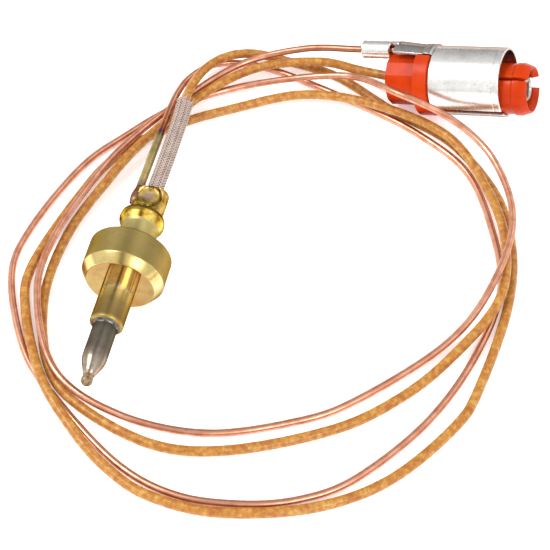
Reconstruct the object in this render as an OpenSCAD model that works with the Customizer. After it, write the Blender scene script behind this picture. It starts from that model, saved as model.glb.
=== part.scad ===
// Gas hob thermocouple: a probe head that sits in the burner, two leads, and a coaxial
// snap connector for the gas tap. Millimetres, +Z up. The probe lies along Y with its tip
// towards -Y, and the origin is under the middle of the head, on the surface it rests on.

/* [Probe] */
// Diameter of the brass shank that goes through the burner bracket
shank_d = 5; // [4.6:0.1:6]
// Length of the brass shank in front of the flange
shank_len = 7.5; // [6.5:0.1:9]
// Diameter of the nickel alloy sheath
sheath_d = 3.6; // [3.2:0.1:3.8]
// Length of sheath in front of the shank, up to the bead
sheath_len = 8.7; // [8:0.1:11]
// Diameter of the welded bead at the tip
bead_d = 1.7; // [1.6:0.1:2.2]

/* [Flange] */
// Diameter of the mounting flange
flange_d = 12.5; // [11:0.5:14]
// Thickness of the mounting flange
flange_thk = 6.5; // [5:0.1:7]
// Chamfer on the front rim of the flange
flange_chamfer = 1.5; // [0.6:0.1:2]

/* [Connector] */
// Outer diameter of the tinned shell
shell_d = 11; // [10.8:0.1:11.4]
// Length of the tinned shell
shell_len = 11.9; // [11:0.1:15]
// Outer diameter of the slotted nose
nose_d = 8; // [7.8:0.1:8.4]
// How far the nose stands out of the shell
nose_out = 4.1; // [3.5:0.1:6]
// Outer diameter of the moulded flange
collar_d = 11.6; // [11.4:0.1:12]

/* [Leads] */
// Diameter of the bare copper return wire
return_d = 1.1; // [1:0.05:1.15]
// Diameter of the sleeved live wire
live_d = 1.5; // [1.4:0.05:1.55]
// Outer diameter of the braided glass sleeve
braid_d = 2.6; // [2.2:0.1:2.6]

/* [Hidden] */

ROUND = 64;
SIDES = 8;
RINGS = 80;
e = 0.01;

brass = "#b8a452";
nickel = "#8f857c";
copper = "#c98a6b";
ochre = "#d78f33";
orange = "#ea4a1c";
tinned = "#c4c4c2";
glass_braid = "#e2d8d0";
ceramic = "#efe9dc";

// Stations along the probe axis, measured forwards from the face of the flange
bead_start = shank_len + sheath_len;
bead_centre = bead_start + bead_d / 2;
head_front = bead_centre + bead_d / 2;
collar_mid = -flange_thk - 5.5;
collar_end = collar_mid - 1.2;
crimp_len = 4.7;
crimp_end = collar_end - crimp_len;
head_half = (head_front - crimp_end) / 2;
seat_y = head_front - head_half;
flange_r = flange_d / 2;
axis_z = flange_r;

flange_bevel = 1.05;
shoulder_r = 0.9;
shank_r = shank_d / 2;
sheath_r = sheath_d / 2;
sheath_wall = 0.65;
sheath_in = 5.9;
sheath_tip_r = 0.8;
taper_len = 2.6;
core_r = 0.5;
insulator_r = sheath_r - sheath_wall - 0.05;
neck_r = 2.85;
collar_big_r = 3.45;
collar_round = 2.6;
flank_len = 1.1;
collar_end_r = 2.95;
collar_bore_r = 1.9;
collar_bore_start = -8.2;
splice_r = 1.15;
splice_len = 4;
splice_start = collar_bore_start - 0.3;
conductor_r = 0.4;
crimp_left = -2.4;
crimp_right = 2.9;
crimp_h = 4.2;
braze_x = -2;
braze_z = 0.25;
braze_r = 1;
live_x = 0.3;
live_z = 0.05;
dimple_x = 0.3;
dimple_r = 2.2;
dimple_lift = 1.65;

// Pose of the connector, which lies with its front end tipped up
connector_at = [36.5, 51.3];
connector_tip = 16.5;
connector_turn = -7;
connector_roll = -24;

collar_r = collar_d / 2;
collar_thk = 2.3;
barrel_r = 4.25;
barrel_len = 5.2;
barrel_turn = 5;
shell_r = shell_d / 2;
sheet = 0.4;
nose_r = nose_d / 2;
nose_wall = 1;
nose_tip_r = nose_r - 0.4;
nose_drop = shell_r - sheet - nose_r - 0.12;
nose_side = 250;
nose_end = collar_thk + shell_len + nose_out;
plug_len = 3.4;
slots = [[138, 0.5], [1.5, 2.1]];
slot_len = 7.5;
slit_w = 1.15;
slit_side = 225;
contact_r = 2;
contact_start = 8.5;
contact_end = nose_end - 0.7;
stem_r = 1.25;
stem_start = 2.4;
cavity_r = 1.9;
live_end = 0.8 - barrel_len;
tongue_half = 25;
barb = 0.18;
barb_back = 2.4;
barb_front = 1.4;
wire_barrel_r = 1.45;
wire_barrel_len = 5;
wire_barrel_at = 4.75;
wire_barrel_end = -5.15;
wire_barrel_start = wire_barrel_end - wire_barrel_len;
tongue_start = wire_barrel_end + 1.05;

// The copper return wire, from the head to the crimp barrel on the connector
return_route = [
    [-2, 17.9, 6.5], [-2, 24, 6.2], [-2.1, 32, 5.4], [-2.2, 41, 3.8], [-1, 47, 2.4],
    [2, 51.5, 1.1], [7, 53, 0.6], [14, 52, 0.6], [28, 47.6, 0.6], [37.5, 43.6, 0.6],
    [46, 37.5, 0.6], [51.5, 27, 0.6], [54.5, 15.5, 0.6], [52.5, 2.5, 0.6], [47.5, -10, 0.6],
    [39.5, -21, 0.6], [32.5, -26, 0.6], [24.5, -28.5, 0.6], [15.5, -29, 0.6], [6.5, -26, 0.6],
    [-4.5, -18, 0.6], [-12, -10.5, 0.6], [-18, 2, 0.6], [-18, 11.5, 0.6], [-14, 25, 0.6],
    [-9, 33, 0.6], [-2, 41.5, 0.6], [8.5, 48, 1.2], [23.5, 50.5, 4.2], [33, 44.5, 8.6],
    [42.5, 42.5, 6.6], [50, 37, 5], [54.5, 26, 4.5], [53, 13.5, 3.4], [48, 3.5, 1.2],
    [37, -8.5, 0.6], [29, -14, 0.6], [17, -18.5, 0.6], [4.5, -18.5, 1.3], [-6, -14, 2.3],
    [-12.5, -2, 2.2], [-13.5, 8.5, 2.4], [-10.5, 22, 2.7], [-7.5, 30.5, 2.4], [-2, 40.5, 2.2],
    [6, 51, 2.4], [16, 54.7, 4.6], [25.7, 54.5, 6.8]
];

// The sleeved live wire, from the head through the braid to the back of the connector
braid_route = [[0.3, 17.9, 6.3], [0.35, 23, 6.1], [0.3, 30, 5.7], [0.1, 35, 5.2], [-0.3, 40, 4.7]];
live_route = concat(braid_route, [
    [0.5, 46.5, 3.8], [3, 51.5, 2.8], [7, 54.5, 1.7], [12.5, 55, 0.8], [22, 53.2, 0.8],
    [32, 47.8, 0.8], [42.5, 43, 0.8], [51, 34, 0.8], [55, 24, 0.8], [56, 12.5, 0.8],
    [54, -2.5, 0.8], [51.5, -10, 0.8], [44, -20.5, 0.8], [34.5, -27, 0.8], [22, -30.5, 0.8],
    [12, -30, 0.8], [5, -27, 1.1], [-1, -22.5, 1.7], [-8, -15, 2.1], [-14, -3.5, 0.8],
    [-15.5, 4.5, 0.8], [-12.5, 19, 0.8], [-9, 28.5, 0.8], [-2, 36.5, 0.8], [7.5, 43, 0.8],
    [17.5, 47.5, 1.4], [29, 47, 2.4], [42, 42.5, 2.7], [50, 32.5, 2.6], [54, 23, 2.5],
    [54.5, 12, 2.5], [49, 1, 1.3], [43, -7, 0.8], [35, -14, 0.8], [21.5, -20.5, 0.8],
    [10.5, -22, 0.8], [-1.5, -18, 0.8], [-8, -12, 0.8], [-12, -0.5, 0.8], [-12, 11.5, 0.8],
    [-9, 21.5, 1.8], [-5, 31.5, 2.5], [2.5, 44.5, 2.3], [9.5, 51.5, 2.1], [19, 53.5, 3.4],
    [26, 53, 3.4], [32.2, 51.8, 4.3]
]);

// A smooth curve through a route: the point at u, where whole numbers are the route's points
function route_point(p, i) = i < 0 ? 2 * p[0] - p[1]
    : i >= len(p) ? 2 * p[len(p) - 1] - p[len(p) - 2]
    : p[i];
function span_point(a, b, c, d, t) = (2 * b + (c - a) * t + (2 * a - 5 * b + 4 * c - d) * t * t
    + (3 * b - a - 3 * c + d) * t * t * t) / 2;
function curve(p, u) = let (i = min(floor(u), len(p) - 2))
    span_point(route_point(p, i - 1), route_point(p, i), route_point(p, i + 1),
        route_point(p, i + 2), u - i);
// No part of the wire dips below the surface
function laid(q, r) = [q.x, q.y, max(q.z, r)];
function path(p, rings, r) = [for (k = [0:rings - 1])
    laid(curve(p, k * (len(p) - 1) / (rings - 1)), r)];

// Rings round a path, each square to the way it runs, with one side facing up
function unit(v) = v / norm(v);
function along(q, i) = unit(q[min(i + 1, len(q) - 1)] - q[max(i - 1, 0)]);
function ring(c, way, r) = let (side = unit(cross(way, [0, 0, 1])), top = cross(side, way))
    [for (k = [0:SIDES - 1]) let (a = 360 * (k + 0.5) / SIDES)
        c + r * (cos(a) * side + sin(a) * top)];
function rings(q, r) = [for (i = [0:len(q) - 1]) each ring(q[i], along(q, i), r)];
function skin(n, first, flip) = [for (i = [0:n - 2], k = [0:SIDES - 1])
    let (a = first + i * SIDES + k, b = first + i * SIDES + (k + 1) % SIDES,
        quad = [a, b, b + SIDES, a + SIDES])
    each (flip ? [[quad[0], quad[2], quad[1]], [quad[0], quad[3], quad[2]]]
        : [[quad[0], quad[1], quad[2]], [quad[0], quad[2], quad[3]]])];
function cap(first, flip) = [for (k = flip ? [SIDES - 1:-1:0] : [0:SIDES - 1]) first + k];

module tube(q, r) {
    last = (len(q) - 1) * SIDES;
    polyhedron(rings(q, r), concat(skin(len(q), 0, false), [cap(0, true), cap(last, false)]));
}

module hollow_tube(q, outer, inner) {
    difference() {
        tube(q, outer);
        tube(concat([q[0] - along(q, 0)], q, [q[len(q) - 1] + along(q, len(q) - 1)]), inner);
    }
}

// Turned round the probe axis: x in the profile is the radius, y the station from the seat
module turned() {
    translate([0, seat_y, axis_z]) rotate([90, 0, 0]) rotate_extrude($fn = ROUND) children();
}

module rod(r, from, to) {
    translate([0, seat_y - from, axis_z]) rotate([90, 0, 0]) cylinder(h = to - from, r = r,
        $fn = ROUND);
}

// In the connector's own frame: its axis runs along X, the front face of its shell is at +X
module in_connector() {
    translate([connector_at.x, connector_at.y, collar_r * cos(connector_tip)])
        rotate([0, -connector_tip, connector_turn]) rotate([connector_roll, 0, 0]) children();
}

module bar(r, from, to) {
    translate([from, 0, 0]) rotate([0, 90, 0]) cylinder(h = to - from, r = r, $fn = ROUND);
}

module pipe(outer, inner, from, to) {
    difference() {
        bar(outer, from, to);
        bar(inner, from - e, to + e);
    }
}

// A wedge of a ring about the connector axis, centred on its top
module arc(outer, inner, from, to, half) {
    intersection() {
        pipe(outer, inner, from, to);
        translate([from, 0, 0]) rotate([90, 0, 90]) linear_extrude(to - from)
            polygon([[0, 0], [-2 * outer * sin(half), 2 * outer * cos(half)],
                [2 * outer * sin(half), 2 * outer * cos(half)]]);
    }
}

module hot_junction_bead() {
    color(nickel) turned() intersection() {
        union() {
            translate([0, bead_centre]) circle(d = bead_d, $fn = ROUND);
            translate([0, bead_start]) square([sheath_tip_r, bead_d / 2]);
        }
        translate([0, bead_start]) square(bead_d + 2);
    }
}

module probe_sheath() {
    shoulder = bead_start - taper_len;
    tail = shank_len - sheath_in;
    bore = sheath_r - sheath_wall;
    color(nickel) turned() polygon([[bore, tail], [sheath_r, tail], [sheath_r, shoulder - 0.4],
        [sheath_r - 0.1, shoulder + 0.1], [sheath_tip_r, bead_start], [core_r, bead_start],
        [core_r, bead_start - 1.4], [bore, shoulder - 0.6]]);
}

module probe_core_wire() {
    color(copper) rod(core_r, splice_start - splice_len / 2 + 0.1, bead_start);
}

module probe_insulator() {
    color(ceramic) difference() {
        rod(insulator_r, collar_bore_start, bead_start - taper_len - 1);
        rod(core_r + 0.05, collar_bore_start - 1, bead_start);
    }
}

module braze_ring() {
    color(tinned) turned() polygon([[sheath_r, shank_len], [shank_r - 0.15, shank_len],
        [sheath_r + 0.15, shank_len + 0.3], [sheath_r, shank_len + 0.55]]);
}

module mounting_body() {
    rounded = [for (a = [0:15:90])
        [flange_r - shoulder_r * (1 - cos(a)), shoulder_r * (1 - sin(a)) - flange_thk]];
    swell = [for (a = [0:5:20])
        [collar_big_r - collar_round * (1 - cos(a)), collar_mid - collar_round * sin(a)]];
    color(brass) turned() polygon(concat(
        [[sheath_r, shank_len - sheath_in], [sheath_r, shank_len], [shank_r - 0.2, shank_len],
        [shank_r, shank_len - 0.2], [shank_r, 0], [flange_r - flange_bevel, 0],
        [flange_r, -flange_chamfer]],
        rounded, [[neck_r, -flange_thk], [neck_r, collar_mid + flank_len + 0.5],
        [collar_big_r - 0.06, collar_mid + 0.5]], swell,
        [[collar_end_r, collar_end + 0.1], [collar_end_r - 0.1, collar_end],
        [collar_bore_r, collar_end], [collar_bore_r, collar_bore_start],
        [insulator_r + 0.05, collar_bore_start], [insulator_r + 0.05, shank_len - sheath_in]]));
}

// Lies along the head, with its rear end flush with the end of the crimp
module lengthways(x, z, r, len, back = 0) {
    translate([x, seat_y - crimp_end + back, axis_z + z]) rotate([90, 0, 0])
        cylinder(h = len, r = r, $fn = ROUND);
}

module lead_crimp() {
    lobe = crimp_h / 2;
    color(brass) difference() {
        union() {
            lengthways(crimp_left + lobe, 0, lobe, crimp_len);
            lengthways(crimp_right - lobe, 0, lobe, crimp_len);
            translate([crimp_left + lobe, seat_y - collar_end, axis_z - lobe])
                cube([crimp_right - crimp_left - crimp_h, crimp_len, crimp_h]);
        }
        lengthways(live_x, live_z, conductor_r + 0.05, crimp_len + 2 * e, e);
        lengthways(braze_x, braze_z, braze_r, crimp_len - 0.5 + e, e);
        translate([dimple_x, seat_y - collar_end + crimp_len / 2, axis_z + lobe + dimple_lift])
            sphere(r = dimple_r, $fn = ROUND);
    }
}

module core_splice() {
    mid = splice_start - splice_len / 2;
    color(copper) difference() {
        rod(splice_r, splice_start - splice_len, splice_start);
        rod(core_r, mid, splice_start + 1);
        rod(conductor_r, splice_start - splice_len - 1, mid + e);
    }
}

module rear_bush() {
    color(ceramic) difference() {
        rod(collar_bore_r, collar_end, collar_bore_start);
        rod(splice_r + 0.05, splice_start - splice_len, collar_bore_start + 1);
        translate([0, seat_y, axis_z]) rotate([90, 0, 0]) translate([0, 0, collar_end - 1])
            cylinder(h = 1 + splice_start - splice_len - collar_end + e, r = collar_bore_r - 0.3,
                $fn = ROUND);
    }
}

module live_wire_start() {
    back = splice_start - splice_len / 2 - 0.1;
    color(copper) tube([[0, seat_y - back, axis_z], [0, seat_y - back + 2, axis_z],
        [live_x, seat_y - collar_end, axis_z + live_z],
        [live_x, seat_y - crimp_end, axis_z + live_z]], conductor_r * 0.95);
}

module return_wire_braze() {
    color(copper) lengthways(braze_x, braze_z, braze_r, crimp_len - 0.5);
}

module return_lead() {
    color(copper) tube(path(return_route, RINGS, return_d / 2), return_d / 2);
}

module live_lead() {
    color(ochre) tube(path(live_route, RINGS, live_d / 2), live_d / 2);
}

module braided_sleeve() {
    color(glass_braid) hollow_tube(path(braid_route, 9, live_d / 2), braid_d / 2,
        live_d / 2 + 0.12);
}

// The nose and the contact share an axis of their own, set off towards one side of the shell
module at_nose() {
    translate([0, nose_drop * cos(nose_side), nose_drop * sin(nose_side)]) children();
}

module cone(r1, r2, from, to) {
    translate([from, 0, 0]) rotate([0, 90, 0]) cylinder(h = to - from, r1 = r1, r2 = r2,
        $fn = ROUND);
}

module connector_housing() {
    color(orange) in_connector() difference() {
        union() {
            translate([-barrel_len, 0, 0]) rotate([barrel_turn, 90, 0])
                cylinder(h = barrel_len + e, r = barrel_r, $fn = 12);
            bar(collar_r, 0, collar_thk);
            bar(shell_r - sheet, collar_thk - e, collar_thk + plug_len);
            at_nose() {
                bar(nose_r, collar_thk, nose_end - barb_back + e);
                bar(nose_r + barb, nose_end - barb_back, nose_end - barb_front + e);
                cone(nose_r + barb, nose_tip_r, nose_end - barb_front, nose_end);
            }
        }
        at_nose() {
            bar(nose_r - nose_wall, contact_start, nose_end + 1);
            bar(stem_r, stem_start, contact_start + e);
            for (s = slots)
                translate([nose_end - slot_len, 0, 0]) rotate([s[0], 0, 0])
                    translate([0, 0, -s[1] / 2]) cube([slot_len + 1, nose_d, s[1]]);
        }
        bar(cavity_r, 1 - barrel_len, stem_start + e);
        bar(live_d / 2 + 0.25, -barrel_len - e, 1 - barrel_len + e);
        arc(collar_r + 1, shell_r - sheet - 0.3, -e, collar_thk + e, tongue_half + 4);
    }
}

module ground_shell() {
    inner = shell_r - sheet;
    color(tinned) in_connector() difference() {
        union() {
            pipe(shell_r, inner, collar_thk, collar_thk + shell_len);
            arc(shell_r, inner, tongue_start, collar_thk + e, tongue_half);
            translate([0, 0, wire_barrel_at]) {
                pipe(wire_barrel_r, return_d / 2 + 0.05, wire_barrel_start, wire_barrel_end);
                arc(wire_barrel_r, wire_barrel_r - sheet, wire_barrel_end - e,
                    tongue_start + 0.4, 70);
            }
        }
        rotate([slit_side, 0, 0]) translate([collar_thk - 1, 0, -slit_w / 2])
            cube([shell_len + 2, collar_d, slit_w]);
    }
}

module centre_contact() {
    color(tinned) in_connector() at_nose() difference() {
        union() {
            bar(contact_r, contact_start + 0.5, contact_end - 0.4);
            cone(contact_r, contact_r - 0.4, contact_end - 0.4 - e, contact_end);
            bar(stem_r, stem_start, contact_start + 0.5 + e);
        }
        bar(conductor_r + 0.05, stem_start - e, stem_start + 3);
        bar(1.1, contact_end - 3, contact_end + 1);
    }
}

module live_wire_end() {
    off = nose_drop * [0, cos(nose_side), sin(nose_side)];
    color(copper) in_connector() tube([[live_end, 0, 0], [live_end + 1, 0, 0],
        [live_end + 2.2, 0, 0] + 0.2 * off, [stem_start - 1.7, 0, 0] + 0.8 * off,
        [stem_start - 0.6, 0, 0] + off, [stem_start + 2.9, 0, 0] + off], conductor_r);
}

module return_wire_end() {
    color(copper) in_connector() translate([0, 0, wire_barrel_at])
        bar(return_d / 2, wire_barrel_start, wire_barrel_end + 0.7);
}

hot_junction_bead();
probe_sheath();
probe_core_wire();
probe_insulator();
braze_ring();
mounting_body();
lead_crimp();
core_splice();
rear_bush();
live_wire_start();
return_wire_braze();
return_lead();
live_lead();
braided_sleeve();
connector_housing();
ground_shell();
centre_contact();
live_wire_end();
return_wire_end();
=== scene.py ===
import math
import random

import bmesh
import bpy
from mathutils import Matrix, Vector, noise


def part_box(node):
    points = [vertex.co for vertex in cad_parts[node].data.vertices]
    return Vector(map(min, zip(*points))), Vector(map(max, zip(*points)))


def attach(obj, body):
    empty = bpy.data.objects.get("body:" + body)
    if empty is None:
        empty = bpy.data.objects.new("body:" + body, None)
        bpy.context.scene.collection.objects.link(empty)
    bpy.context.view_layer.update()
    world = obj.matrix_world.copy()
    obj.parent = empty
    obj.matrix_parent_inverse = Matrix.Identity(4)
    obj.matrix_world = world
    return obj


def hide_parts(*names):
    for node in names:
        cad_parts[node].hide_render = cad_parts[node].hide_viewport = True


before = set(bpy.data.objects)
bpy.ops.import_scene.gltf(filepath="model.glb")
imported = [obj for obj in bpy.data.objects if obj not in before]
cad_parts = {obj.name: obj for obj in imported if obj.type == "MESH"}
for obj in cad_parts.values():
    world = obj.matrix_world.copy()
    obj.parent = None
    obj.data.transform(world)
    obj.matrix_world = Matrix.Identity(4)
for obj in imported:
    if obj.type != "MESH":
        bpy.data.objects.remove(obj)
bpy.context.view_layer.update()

# A gas hob thermocouple: probe head, bare return wire, sleeved live lead and coaxial connector.
# Every length below is in millimetres and becomes metres where a point is placed.
MM = 0.001
TURN = 2 * math.pi

# ---------------------------------------------------------------- sizes shared with the CAD
SHANK_LEN, SHANK_R = 7.5, 2.5
SHEATH_R, SHEATH_TIP_R, TAPER_LEN = 1.8, 0.8, 2.6
BEAD_R = 0.85
FLANGE_THK, FLANGE_CHAMFER, FLANGE_BEVEL = 6.5, 1.5, 1.05
COLLAR_R, COLLAR_ROUND, NECK_R, FLANK_LEN, COLLAR_BACK = 3.45, 2.6, 2.85, 1.1, 1.2
RETURN_R, LIVE_R, BRAID_R = 0.55, 0.75, 1.3

CONNECTOR_AT = (36.5, 51.3)
CONNECTOR_TIP, CONNECTOR_TURN, CONNECTOR_ROLL = 16.5, -7, -24
DISC_R, DISC_THK = 5.8, 2.3
SHELL_R, SHEET, SHELL_LEN = 5.5, 0.4, 11.9
BARREL_R, BARREL_LEN = 4.25, 5.2
NOSE_R, NOSE_WALL, NOSE_OUT, NOSE_DROP, NOSE_SIDE = 4.0, 1.0, 4.1, 0.98, 250
CONTACT_R, CONTACT_BORE = 2.0, 1.1
WIRE_BARREL_R, WIRE_BARREL_AT = 1.45, 4.75
WIRE_BARREL_END, WIRE_BARREL_LEN = -5.15, 5.0
TONGUE_HALF = 25
SLIT_SIDE, SLIT_W = 225, 1.15

# ---------------------------------------------------------------- places worked out from the frame
low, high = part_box("mounting_body")
AXIS_Z = (low[2] + high[2]) / 2 / MM
FLANGE_R = (high[2] - low[2]) / 2 / MM
SEAT_Y = low[1] / MM + SHANK_LEN
COLLAR_END = SEAT_Y - high[1] / MM
low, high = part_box("hot_junction_bead")
TIP = SEAT_Y - low[1] / MM
low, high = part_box("lead_crimp")
CRIMP_END = SEAT_Y - high[1] / MM
CRIMP_LEFT, CRIMP_RIGHT = low[0] / MM, high[0] / MM
CRIMP_HALF = (high[2] - low[2]) / 2 / MM
low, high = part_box("return_wire_braze")
BRAZE_X, BRAZE_Z = (low[0] + high[0]) / 2 / MM, (low[2] + high[2]) / 2 / MM
BRAZE_R = (high[0] - low[0]) / 2 / MM
COLLAR_MID = COLLAR_END + COLLAR_BACK
BEAD_AT = TIP - BEAD_R
SHELL_END = DISC_THK + SHELL_LEN
NOSE_END = SHELL_END + NOSE_OUT

# ---------------------------------------------------------------- routes, the same as in the CAD
RETURN_ROUTE = [
    (-2, 17.9, 6.5), (-2, 24, 6.2), (-2.1, 32, 5.4), (-2.2, 41, 3.8), (-1, 47, 2.4),
    (2, 51.5, 1.1), (7, 53, 0.6), (14, 52, 0.6), (28, 47.6, 0.6), (37.5, 43.6, 0.6),
    (46, 37.5, 0.6), (51.5, 27, 0.6), (54.5, 15.5, 0.6), (52.5, 2.5, 0.6), (47.5, -10, 0.6),
    (39.5, -21, 0.6), (32.5, -26, 0.6), (24.5, -28.5, 0.6), (15.5, -29, 0.6), (6.5, -26, 0.6),
    (-4.5, -18, 0.6), (-12, -10.5, 0.6), (-18, 2, 0.6), (-18, 11.5, 0.6), (-14, 25, 0.6),
    (-9, 33, 0.6), (-2, 41.5, 0.6), (8.5, 48, 1.2), (23.5, 50.5, 4.2), (33, 44.5, 8.6),
    (42.5, 42.5, 6.6), (50, 37, 5), (54.5, 26, 4.5), (53, 13.5, 3.4), (48, 3.5, 1.2),
    (37, -8.5, 0.6), (29, -14, 0.6), (17, -18.5, 0.6), (4.5, -18.5, 1.3), (-6, -14, 2.3),
    (-12.5, -2, 2.2), (-13.5, 8.5, 2.4), (-10.5, 22, 2.7), (-7.5, 30.5, 2.4), (-2, 40.5, 2.2),
    (6, 51, 2.4), (16, 54.7, 4.6), (25.7, 54.5, 6.8)]
BRAID_ROUTE = [(0.3, 17.9, 6.3), (0.35, 23, 6.1), (0.3, 30, 5.7), (0.1, 35, 5.2), (-0.3, 40, 4.7)]
LIVE_ROUTE = BRAID_ROUTE + [
    (0.5, 46.5, 3.8), (3, 51.5, 2.8), (7, 54.5, 1.7), (12.5, 55, 0.8), (22, 53.2, 0.8),
    (32, 47.8, 0.8), (42.5, 43, 0.8), (51, 34, 0.8), (55, 24, 0.8), (56, 12.5, 0.8),
    (54, -2.5, 0.8), (51.5, -10, 0.8), (44, -20.5, 0.8), (34.5, -27, 0.8), (22, -30.5, 0.8),
    (12, -30, 0.8), (5, -27, 1.1), (-1, -22.5, 1.7), (-8, -15, 2.1), (-14, -3.5, 0.8),
    (-15.5, 4.5, 0.8), (-12.5, 19, 0.8), (-9, 28.5, 0.8), (-2, 36.5, 0.8), (7.5, 43, 0.8),
    (17.5, 47.5, 1.4), (29, 47, 2.4), (42, 42.5, 2.7), (50, 32.5, 2.6), (54, 23, 2.5),
    (54.5, 12, 2.5), (49, 1, 1.3), (43, -7, 0.8), (35, -14, 0.8), (21.5, -20.5, 0.8),
    (10.5, -22, 0.8), (-1.5, -18, 0.8), (-8, -12, 0.8), (-12, -0.5, 0.8), (-12, 11.5, 0.8),
    (-9, 21.5, 1.8), (-5, 31.5, 2.5), (2.5, 44.5, 2.3), (9.5, 51.5, 2.1), (19, 53.5, 3.4),
    (26, 53, 3.4), (32.2, 51.8, 4.3)]

# The round mark pressed into the crimp
PUNCH_X, PUNCH_AT, PUNCH_R = 0.15, CRIMP_END + 1.95, 1.42


def spline(route, step):
    """Points about step apart on a Catmull-Rom curve through the route, in millimetres."""
    pts = [Vector(p) for p in route]
    pts = [2 * pts[0] - pts[1]] + pts + [2 * pts[-1] - pts[-2]]
    out = []
    for a, b, c, d in zip(pts, pts[1:], pts[2:], pts[3:]):
        n = max(2, math.ceil((c - b).length / step))
        for k in range(n):
            t = k / n
            out.append(0.5 * (2 * b + (c - a) * t + (2 * a - 5 * b + 4 * c - d) * t * t
                              + (3 * b - a - 3 * c + d) * t ** 3))
    return out + [pts[-2]]


def lengths(line):
    """The distance along a line at each of its points."""
    out = [0.0]
    for a, b in zip(line, line[1:]):
        out.append(out[-1] + (b - a).length)
    return out


def transported(line, outward=None):
    """Each point with a side and an up vector that turn as little as possible on the way, or
    that face the outward vectors."""
    up, out = Vector((0, 0, 1)), []
    for i, p in enumerate(line):
        along = (line[min(i + 1, len(line) - 1)] - line[max(i - 1, 0)]).normalized()
        side = along.cross(outward[i] if outward else up).normalized()
        up = side.cross(along)
        out.append((p, side, up))
    return out


# ---------------------------------------------------------------- where things go
def at_head(s, r, a, x=0.0, z=0.0):
    """s forwards from the flange's face, r and a about the probe's axis or one beside it."""
    return Vector((x + r * math.cos(a), SEAT_Y - s, AXIS_Z + z + r * math.sin(a)))


CONNECTOR = (Matrix.Translation((*CONNECTOR_AT, DISC_R * math.cos(math.radians(CONNECTOR_TIP))))
             @ Matrix.Rotation(math.radians(CONNECTOR_TURN), 4, "Z")
             @ Matrix.Rotation(math.radians(-CONNECTOR_TIP), 4, "Y")
             @ Matrix.Rotation(math.radians(CONNECTOR_ROLL), 4, "X"))


def at_connector(x, r, a, y=0.0, z=0.0):
    """x forwards from the disc's rear face, r and a about the connector's axis or one beside it."""
    return CONNECTOR @ Vector((x, y + r * math.cos(a), z + r * math.sin(a)))


def at_nose(x, r, a):
    """The same about the nose's axis, which is a little off the shell's."""
    side = math.radians(NOSE_SIDE)
    return at_connector(x, r, a, NOSE_DROP * math.cos(side), NOSE_DROP * math.sin(side))


def at_wire_barrel(x, r, a):
    """The same about the axis of the barrel that holds the return wire."""
    return at_connector(x, r, a, z=WIRE_BARREL_AT)


# ---------------------------------------------------------------- mesh building
class Solid:
    """Collects rings of points into one mesh with UVs: U goes round, V is millimetres along."""

    def __init__(self):
        self.verts, self.faces, self.uvs = [], [], []

    def grid(self, rows, marks, round_closed=False, long_closed=False):
        """rows[i][j] is a point; i goes round and j goes along, at marks[j] millimetres."""
        first, n, m = len(self.verts), len(rows), len(rows[0])
        self.verts += [p * MM for row in rows for p in row]
        for i in range(n if round_closed else n - 1):
            for j in range(m if long_closed else m - 1):
                i2, j2 = (i + 1) % n, (j + 1) % m
                self.faces.append([first + i * m + j, first + i2 * m + j,
                                   first + i2 * m + j2, first + i * m + j2])
                u, u2 = i / n, (i + 1) / n
                v, v2 = marks[j], marks[j + 1] if j + 1 < m else marks[j]
                self.uvs.append([(u, v), (u2, v), (u2, v2), (u, v2)])
        return first

    def face(self, index, mark=0.0):
        self.faces.append(list(index))
        self.uvs.append([(0.5, mark)] * len(self.faces[-1]))

    def revolve(self, outline, place, a0=-90, a1=270, closed=False, steps=96):
        """Turns (x, r) points about an axis. A closed outline that isn't turned all the way
        round gets an end face at each side."""
        full = a1 - a0 >= 359.99
        n = steps if full else max(2, round(steps * (a1 - a0) / 360))
        angles = [math.radians(a0 + (a1 - a0) * i / n) for i in range(n if full else n + 1)]
        rows = [[place(x, r, a) for x, r in outline] for a in angles]
        marks = lengths([Vector((x, r, 0)) for x, r in outline])
        first, m = self.grid(rows, marks, full, closed), len(outline)
        if closed and not full:
            self.face(range(first, first + m))
            self.face(reversed(range(first + (len(rows) - 1) * m, first + len(rows) * m)))
        return self

    def tube(self, line, radius, sides=16, flat=1.0, outward=None):
        """Sweeps a ring along a line. radius(distance, angle) gives its size."""
        marks = lengths(line)
        rings = [[p + radius(d, a) * (math.cos(a) * side + flat * math.sin(a) * up)
                  for (p, side, up), d in zip(transported(line, outward), marks)]
                 for a in [TURN * k / sides for k in range(sides)]]
        first, m = self.grid(rings, marks, True), len(line)
        self.face([first + k * m for k in range(sides)])
        self.face([first + k * m + m - 1 for k in reversed(range(sides))], marks[-1])
        return self

    def piece(self, name, material, nodes, sharp=28, bevel=0.0, flat=False):
        """Makes the object, which stands for the CAD nodes and rides on the frame."""
        mesh = bpy.data.meshes.new(name)
        mesh.from_pydata(self.verts, [], self.faces)
        layer = mesh.uv_layers.new(name="UVMap")
        for loop, uv in zip(layer.data, [uv for face in self.uvs for uv in face]):
            loop.uv = uv
        work = bmesh.new()
        work.from_mesh(mesh)
        bmesh.ops.recalc_face_normals(work, faces=work.faces)
        work.to_mesh(mesh)
        work.free()
        mesh.shade_smooth()
        if sharp:
            mesh.set_sharp_from_angle(angle=math.radians(sharp))
        obj = bpy.data.objects.new(name, mesh)
        bpy.context.scene.collection.objects.link(obj)
        if bevel:
            edge = obj.modifiers.new("edges", "BEVEL")
            edge.width, edge.segments, edge.limit_method = bevel * MM, 2, "ANGLE"
            edge.angle_limit = math.radians(24)
        if flat:
            obj.modifiers.new("flat_faces", "WEIGHTED_NORMAL").keep_sharp = True
        mesh.materials.append(material)
        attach(obj, "root")
        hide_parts(*nodes)
        return obj


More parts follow.
